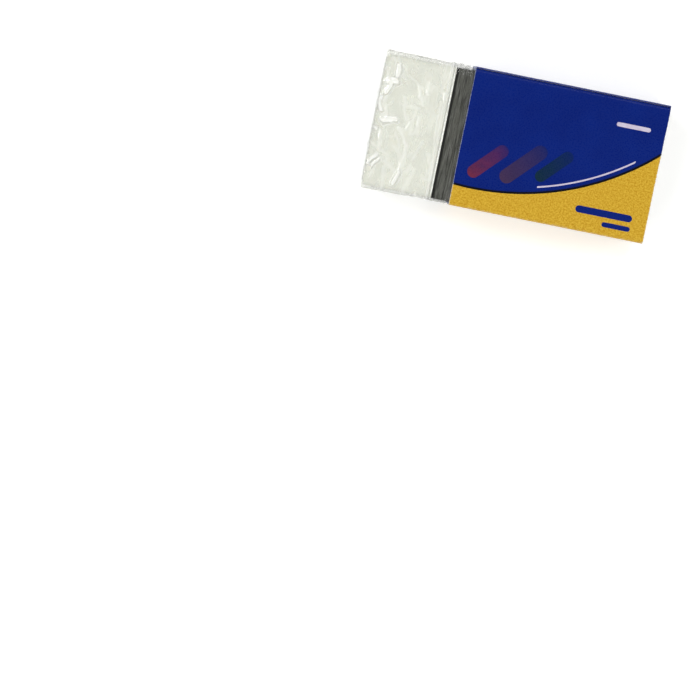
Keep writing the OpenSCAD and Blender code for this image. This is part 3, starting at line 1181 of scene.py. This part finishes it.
@dataclass
class SleevePrint:
    """What is printed on the front over the blue: the gold field, three bars, a line and rules.

    Lengths are in millimetres. Places are from the sleeve's mouth and from the front's near edge.
    """

    sleeve: CardSleeve
    gold_mouth: float = 3.3
    gold_end: float = 14.0
    gold_radius: float = 41.0
    bar_slant: float = 46.0
    bar_start: float = 2.8
    bar_pitch: float = 5.2
    bar_length: float = 8.6
    bar_width: float = 2.3
    line_width: float = 0.25
    line_offset: float = 0.9
    line_reach: tuple[float, float] = (0.42, 0.88)
    bar_clearance: float = 0.4
    rule_length: float = 9.0
    rule_height: float = 1.1
    rule_inset: float = 2.4
    rule_drop: float = 4.4
    pale_rule_share: float = 0.6
    ink: float = 0.012
    overlap: float = 0.32

    def __post_init__(self) -> None:
        """Works out the centre of the gold field's curved edge."""
        chord = np.array([self.sleeve.length, self.gold_end - self.gold_mouth])
        middle = np.array([0.0, self.gold_mouth]) + chord / 2
        span = float(np.linalg.norm(chord))
        rise = math.sqrt(self.gold_radius**2 - (span / 2) ** 2)
        self.centre = middle + rise * np.array([-chord[1], chord[0]]) / span

    def curve(self, u: np.ndarray, radius: float) -> np.ndarray:
        """Heights above the near edge, at u from the mouth, of a circle about the gold edge's centre."""
        return self.centre[1] - np.sqrt(radius**2 - (u - self.centre[0]) ** 2)

    def layer(
        self,
        name: str,
        grids: list[Grids],
        finish: Finish,
        slot: str,
        node: str,
        lift: float = 1.0,
        fade: bool = False,
    ) -> bpy.types.Object:
        """Makes one printed layer from grids of places on the unfolded card.

        Args:
            name: The piece's name.
            grids: For each patch, distances along the section path and places along X.
            finish: Its ink.
            slot: The record's material slot. It is not used.
            node: The CAD node that it stands for, or an empty string.
            lift: How many ink layers above the card it lies.
            fade: True where the ink fades from the patch's first column to its last.

        Returns:
            The layer.
        """
        solid = Solid()
        for s, x in grids:
            fields = {"wear": self.sleeve.wear(s, x)}
            if fade:
                fields["fade"] = np.broadcast_to(np.linspace(0, 1, s.shape[1])[None, :] ** 1.3, s.shape)
            top = self.sleeve.place(s, x, self.ink * lift)
            solid.add_sheet(top, self.sleeve.place(s, x, -self.ink), fields)
        piece = solid.piece(name, [finish.make()])
        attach(piece, "sleeve")
        if node:
            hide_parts(node)
        return piece

    def gold(self) -> bpy.types.Object:
        """The gold field, from the foot of the near side over the fold and up to its curved edge.

        Returns:
            The layer.
        """
        sleeve = self.sleeve
        xs = spread(sleeve.x0, sleeve.x1, step=0.25)
        lower = spread(*sleeve.marks[4:7], step=(0.5, 0.09))[:-1]
        reach = self.curve(xs - sleeve.x0, self.gold_radius) - sleeve.fold
        upper = sleeve.marks[6] + np.linspace(0, 1, 26)[:, None] * reach[None, :]
        s = np.concatenate([np.broadcast_to(lower[:, None], (len(lower), len(xs))), upper])
        x = np.broadcast_to(xs[None, :], s.shape)
        return self.layer("gold_field", [(s, x)], GOLD, "gold_ink", "gold_print")

    def rounded_bar(self, u: float, v: float, length: float, width: float, slant: float = 0.0) -> Grids:
        """A bar with round ends.

        Args:
            u: Its first round end's centre, from the mouth.
            v: The same, from the near edge.
            length: Its whole length.
            width: Its width.
            slant: Its slant in degrees.

        Returns:
            Distances along the section path and places along X, as grids.
        """
        r = width / 2
        bend = r * np.sin(np.radians(np.linspace(-90, 0, 10)))
        reach = length - width
        t = np.concatenate([bend, spread(0, reach, step=0.3)[1:-1], reach - bend[::-1]])
        half = np.sqrt(np.clip(r * r - np.clip(-t, 0, r) ** 2 - np.clip(t - reach, 0, r) ** 2, 1e-6, None))
        across = np.linspace(1, -1, 9)[:, None] * half[None, :]
        cos, sin = math.cos(math.radians(slant)), math.sin(math.radians(slant))
        x = u + cos * t[None, :] - sin * across
        y = v + sin * t[None, :] + cos * across
        return self.sleeve.front(self.sleeve.y0 + y)[::-1], self.sleeve.x0 + x[::-1]

    def band(self, u: np.ndarray, low_radius: float, high_radius: float, rows: int) -> Grids:
        """A band between two circles about the gold edge's centre.

        Args:
            u: Places from the mouth.
            low_radius: The lower edge's circle.
            high_radius: The upper edge's circle.
            rows: How many rows of points it has.

        Returns:
            Distances along the section path and places along X, as grids.
        """
        low, high = self.curve(u, low_radius), self.curve(u, high_radius)
        y = np.stack([low + (high - low) * t for t in np.linspace(0, 1, rows)])
        return self.sleeve.front(self.sleeve.y0 + y), np.broadcast_to(self.sleeve.x0 + u[None, :], y.shape)

    def bars(self) -> list[bpy.types.Object]:
        """The three slanted bars.

        Returns:
            The layers.
        """
        feet = self.gold_radius - self.line_offset - self.line_width - self.bar_clearance - self.bar_width / 2
        # Each one's share of the length and width, its ink and its colour's name.
        looks = ((0.86, 0.87, CRIMSON, "crimson"), (1.0, 1.0, MAUVE, "mauve"), (0.8, 0.8, GREEN, "green"))
        made = []
        for i, (long, wide, finish, colour) in enumerate(looks):
            u = self.bar_start + i * self.bar_pitch
            v = float(self.curve(np.array(u), feet))
            bar = self.rounded_bar(u, v, long * self.bar_length, wide * self.bar_width, self.bar_slant)
            names = (f"{colour}_ink", f"{colour}_print")
            made.append(self.layer(f"{colour}_bar", [bar], finish, *names, fade=True))
        return made

    def pale(self) -> bpy.types.Object:
        """The thin line along the gold's curve, and the short rule by the far edge.

        Returns:
            The layer.
        """
        sleeve, foot = self.sleeve, self.gold_radius - self.line_offset
        start, stop = (share * sleeve.length for share in self.line_reach)
        line = self.band(spread(start, stop, step=0.2), foot, foot - self.line_width, 4)
        long, thin = (self.pale_rule_share * size for size in (self.rule_length, self.rule_height))
        u = sleeve.length - self.rule_inset - long + thin / 2
        rule = self.rounded_bar(u, sleeve.y1 - sleeve.y0 - self.rule_drop, long, thin)
        return self.layer("pale_line_and_rule", [line, rule], PALE_INK, "pale_ink", "pale_print")

    def overprint(self) -> bpy.types.Object:
        """The dark hairline where the blue and the gold inks overlap along the curve.

        Returns:
            The layer.
        """
        u = spread(0.0, self.sleeve.length, step=0.25)
        grid = self.band(u, self.gold_radius + 0.02, self.gold_radius - self.overlap, 3)
        return self.layer("ink_overlap", [grid], OVERLAP, "blue_card", "", lift=2.0)

    def rules(self) -> bpy.types.Object:
        """The two blue rules on the gold, printed over it.

        Returns:
            The layer.
        """
        foot, right = self.rule_inset * 0.55, self.sleeve.length - self.rule_inset
        grids = []
        # Each one's share of the length and height, and how many rule heights it lies above the foot.
        for long, thick, up in ((1.0, 1.0, 1.9), (0.5, 0.7, 0.4)):
            length, width = long * self.rule_length, thick * self.rule_height
            u, v = right - length + width / 2, foot + up * self.rule_height
            grids.append(self.rounded_bar(u, v, length, width))
        return self.layer("blue_rules", grids, BLUE, "blue_card", "", lift=2.0)

    def build(self) -> list[bpy.types.Object]:
        """Builds every printed layer."""
        return [self.gold(), self.overprint(), *self.bars(), self.pale(), self.rules()]


# ---------------------------------------------------------------- the studio


# Soft lamps: name, place and side of the square in millimetres, and power in watts.
LAMPS = (
    ("key_softbox", (-190, 110, 400), 120, 0.54),
    ("end_softbox", (-225, -10, 430), 90, 0.2),
    ("near_softbox", (150, -170, 400), 100, 0.26),
    ("far_softbox", (60, 225, 380), 90, 0.17),
    ("side_softbox", (340, 120, 320), 160, 0.27),
    ("low_softbox", (-200, -320, 280), 160, 0.27),
)


@dataclass
class Studio:
    """A pale floor, soft light and the camera at the photograph's viewing angle."""

    eye: tuple[float, float, float] = (-28.077, 7.039, 413.73)
    aim: tuple[float, float, float] = (-18.938, -36.247, 12.43)
    up: tuple[float, float, float] = (-0.19604, 0.97446, -0.10957)
    lens: float = 132.548
    floor_half: float = 1500.0
    floor_z: float = -0.02

    def camera(self) -> None:
        """Makes the scene's camera."""
        data = bpy.data.cameras.new("camera")
        data.lens, data.sensor_width, data.clip_start = self.lens, 36.0, 0.01
        camera = bpy.data.objects.new("camera", data)
        eye, aim = Vector(self.eye) * MM, Vector(self.aim) * MM
        back = (eye - aim).normalized()
        right = Vector(self.up).cross(back).normalized()
        turn = Matrix((right, back.cross(right), back)).transposed()
        camera.matrix_world = Matrix.Translation(eye) @ turn.to_4x4()
        bpy.context.scene.collection.objects.link(camera)
        bpy.context.scene.camera = camera

    def lamps(self) -> None:
        """Makes the soft lamps, each facing the eraser."""
        for name, place, size, power in LAMPS:
            data = bpy.data.lights.new(name, "AREA")
            data.energy, data.size = power, size * MM
            lamp = bpy.data.objects.new(name, data)
            lamp.location = Vector(place) * MM
            lamp.rotation_euler = (-lamp.location).to_track_quat("-Z", "Y").to_euler()
            bpy.context.scene.collection.objects.link(lamp)

    def floor(self) -> None:
        """Makes the pale floor."""
        half = self.floor_half
        square = ((-half, -half), (half, -half), (half, half), (-half, half))
        corners = np.array([[x, y, self.floor_z] for x, y in square])
        Solid([corners], [[0, 1, 2, 3]]).piece("floor", [FLOOR.make()])

    def world(self) -> None:
        """Makes the surrounding light: white at the horizon, dim overhead, and a soft ring between."""
        world = bpy.data.worlds.new("studio")
        world.use_nodes = True
        tree = world.node_tree
        sky = tree.nodes["Background"]
        sky.inputs["Color"].default_value = (1.0, 1.0, 1.0, 1.0)
        # 0 at the horizon and 1 overhead.
        height = add_node(tree, "SeparateXYZ", {"Vector": add_node(tree, "TexCoord", {}, 0)}, 2)
        levels = {"Value": height, "From Min": 0.1, "From Max": 0.7, "To Min": 1.0, "To Max": 0.14}
        dim = add_node(tree, "MapRange", levels)
        inner = add_node(tree, "MapRange", {"Value": height, "From Min": 0.955, "From Max": 0.94})
        outer = add_node(tree, "MapRange", {"Value": height, "From Min": 0.86, "From Max": 0.885})
        ring = add_node(tree, "Math", {"operation": "MULTIPLY", 0: inner, 1: outer})
        light = add_node(tree, "Math", {"operation": "MULTIPLY_ADD", 0: ring, 1: 0.7, 2: dim})
        tree.links.new(light, sky.inputs["Strength"])
        bpy.context.scene.world = world

    def build(self) -> None:
        """Builds the studio."""
        self.camera()
        self.world()
        self.floor()
        self.lamps()
        bpy.context.scene.view_settings.view_transform = "Standard"


def main() -> None:
    """Loads the frame, builds each sub-assembly and reports its pieces."""
    logging.basicConfig(level=logging.INFO, format="%(name)s: %(message)s")
    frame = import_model()
    sleeve = CardSleeve(*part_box("card_sleeve"))
    pieces = WrappedBlock(frame["nodes"], sleeve.x0).build()
    pieces.append(sleeve.build())
    pieces += SleevePrint(sleeve).build()
    Studio().build()
    for piece in pieces:
        LOG.info("%s: %d faces", piece.name, len(piece.data.polygons))


if __name__ == "__main__":
    main()
